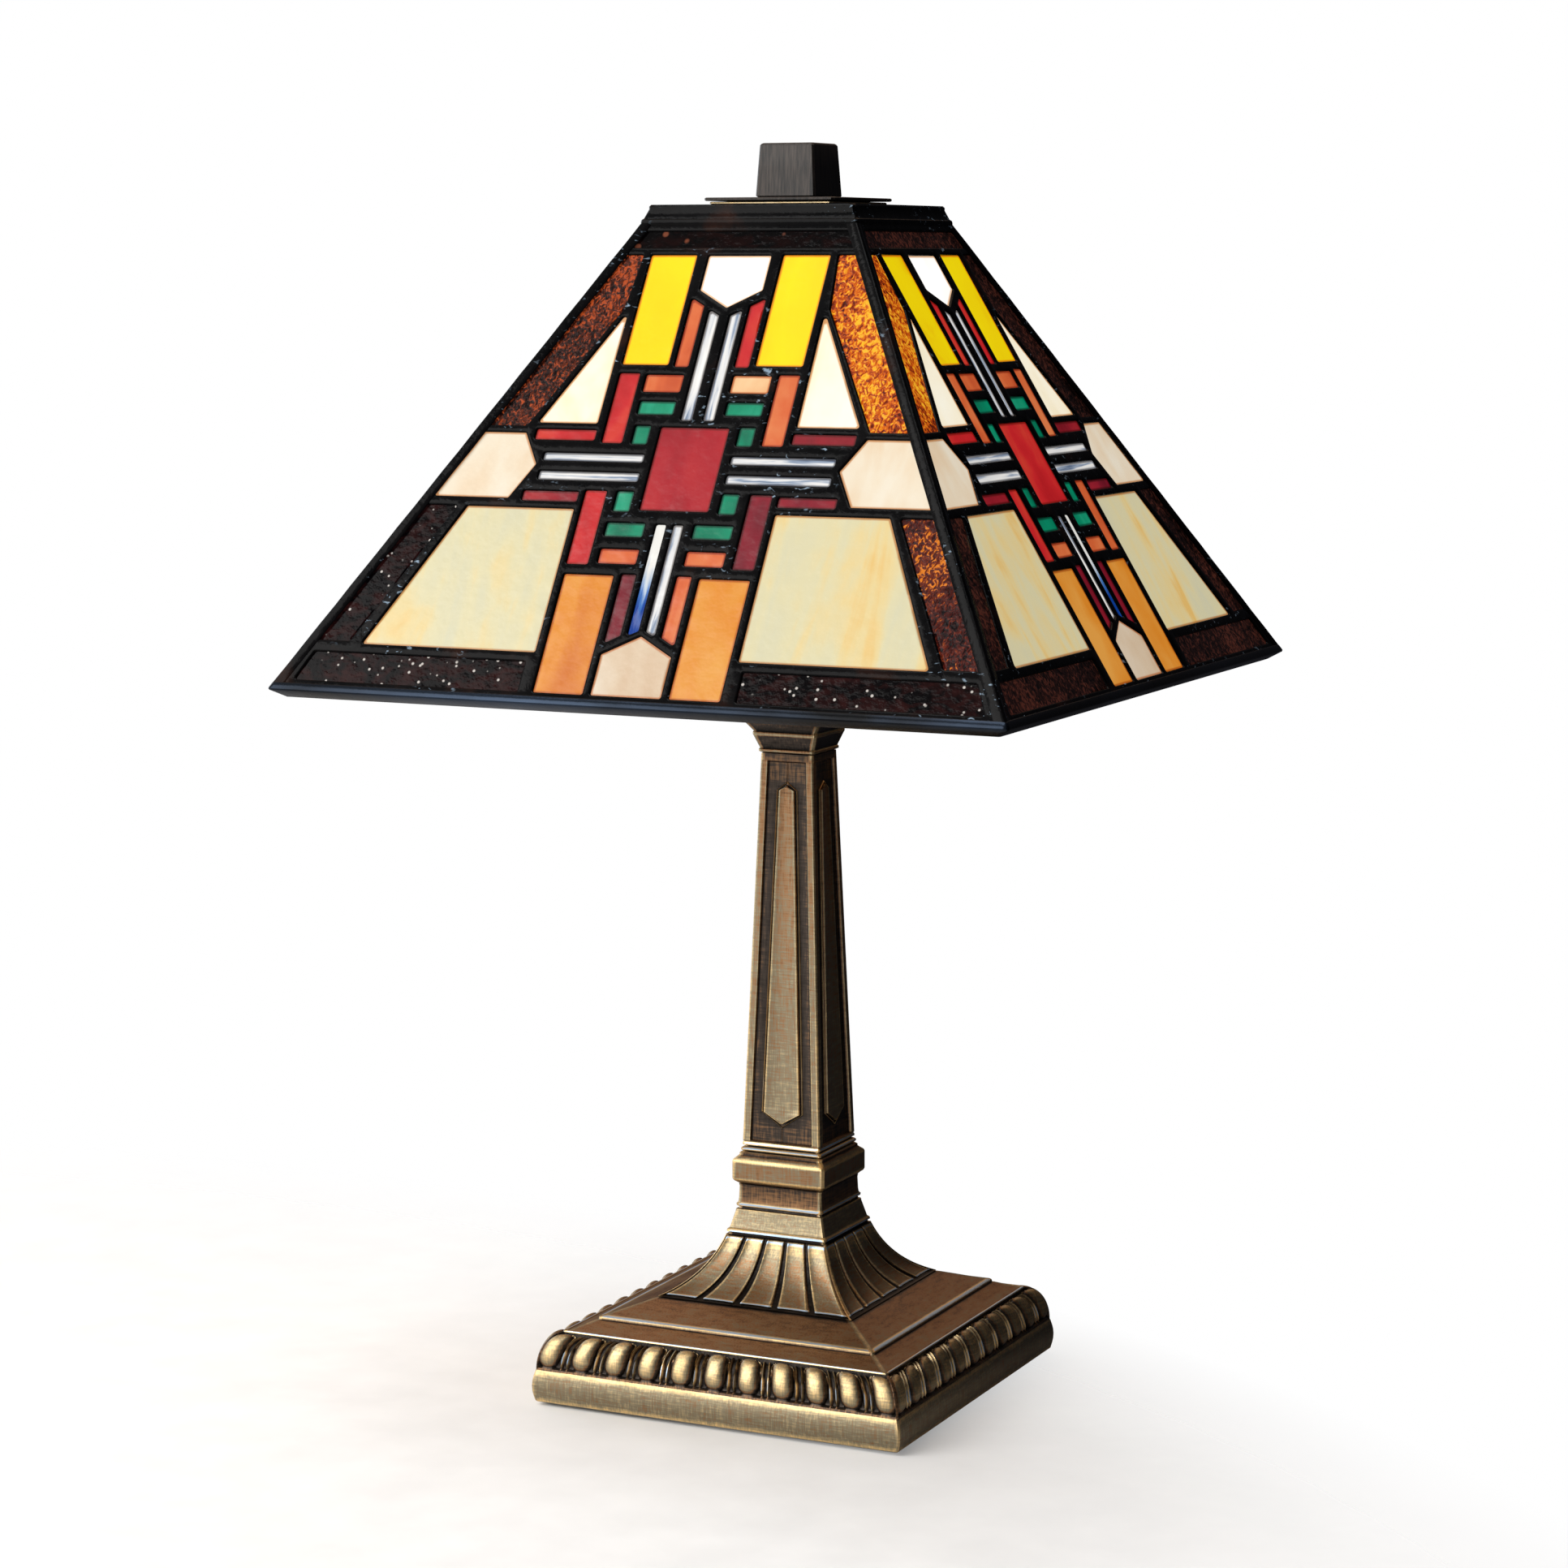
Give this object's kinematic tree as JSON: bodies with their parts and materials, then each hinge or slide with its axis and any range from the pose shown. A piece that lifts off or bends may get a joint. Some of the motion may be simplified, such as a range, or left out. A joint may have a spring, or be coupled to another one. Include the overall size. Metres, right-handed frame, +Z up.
{
  "type": "stained glass table lamp",
  "caption": "Square table lamp with a leaded art glass pyramid shade on a harp, over a tapered bronze column and a moulded square foot.",
  "frame": {"origin": "centre of the felt underside that the lamp stands on", "axes": "+Z up along the column; the front glass face looks along -Y; the switch knob is at the front and the cord bushing at the back"},
  "size_m": [0.3048, 0.3048, 0.4987],
  "materials": {
    "bronze": "antique, brushed",
    "dark_bronze": "dark, brushed",
    "brass": "satin",
    "steel": "zinc plated",
    "iron": "raw",
    "felt": "felt",
    "lead_came": "black patina, glossy",
    "art_glass": "streaky opalescent",
    "bulb_glass": "frosted",
    "black_plastic": "moulded",
    "phenolic": "moulded",
    "card": "insulating card",
    "tin": "satin"
  },
  "bodies": {
    "stand": {"felt_pad": "felt", "base_foot": "bronze", "pedestal": "bronze", "base_weight": "iron", "bottom_washer": "steel", "bottom_nut": "steel", "cord_bushing": "black_plastic", "stem_collar": "bronze", "column": "bronze", "capital": "dark_bronze", "lamp_pipe": "steel", "capital_washer": "brass", "harp_saddle": "brass", "saddle_nut": "brass", "harp": "brass", "harp_stud": "brass", "socket_cap": "brass", "socket_shell": "brass", "socket_sleeve": "card", "switch_block": "phenolic", "screw_shell": "brass", "socket_contact": "brass"},
    "shade": {"glass_front": "art_glass", "glass_right": "art_glass", "glass_back": "art_glass", "glass_left": "art_glass", "lead_front": "lead_came", "lead_right": "lead_came", "lead_back": "lead_came", "lead_left": "lead_came", "shade_rim": "lead_came", "hip_back_right": "lead_came", "hip_back_left": "lead_came", "hip_front_left": "lead_came", "hip_front_right": "lead_came", "crown_band": "lead_came", "top_plate": "dark_bronze", "cap_plate_lower": "brass", "cap_plate_upper": "dark_bronze"},
    "finial_insert": {"finial_insert": "brass"},
    "finial": {"finial": "dark_bronze"},
    "bulb_contact": {"bulb_contact": "tin"},
    "bulb": {"bulb_button": "black_plastic", "bulb_base": "tin", "bulb_glass": "bulb_glass"},
    "switch_knob": {"switch_shaft": "brass", "switch_knob": "black_plastic"},
    "sleeve_left": {"harp_sleeve_left": "brass"},
    "sleeve_right": {"harp_sleeve_right": "brass"}
  },
  "joints": [
    {"name": "shade_turn", "type": "hinge", "parent": "stand", "child": "shade", "pos_m": [0, 0, 0.4728], "axis": [0, 0, 1], "continuous": true},
    {"name": "finial_rise", "type": "slide", "parent": "stand", "child": "finial_insert", "axis": [0, 0, 1], "range_m": [0, 0.00564]},
    {"name": "finial_turn", "type": "hinge", "parent": "finial_insert", "child": "finial", "pos_m": [0, 0, 0.4885], "axis": [0, 0, 1], "range_deg": [0, 2160]},
    {"name": "bulb_rise", "type": "slide", "parent": "stand", "child": "bulb_contact", "axis": [0, 0, 1], "range_m": [0, 0.00907]},
    {"name": "bulb_turn", "type": "hinge", "parent": "bulb_contact", "child": "bulb", "pos_m": [0, 0, 0.3335], "axis": [0, 0, 1], "range_deg": [0, 900]},
    {"name": "switch_turn", "type": "hinge", "parent": "stand", "child": "switch_knob", "pos_m": [0, -0.02, 0.3108], "axis": [0, 1, 0], "continuous": true},
    {"name": "sleeve_left_lift", "type": "slide", "parent": "stand", "child": "sleeve_left", "axis": [0, 0, 1], "range_m": [0, 0.012]},
    {"name": "sleeve_right_lift", "type": "slide", "parent": "stand", "child": "sleeve_right", "axis": [0, 0, 1], "range_m": [0, 0.012]}
  ],
  "couplings": [
    {"joint": "finial_turn", "follows": "finial_rise", "rad_per_m": 6679.1},
    {"joint": "bulb_turn", "follows": "bulb_rise", "rad_per_m": 1731.5}
  ]
}
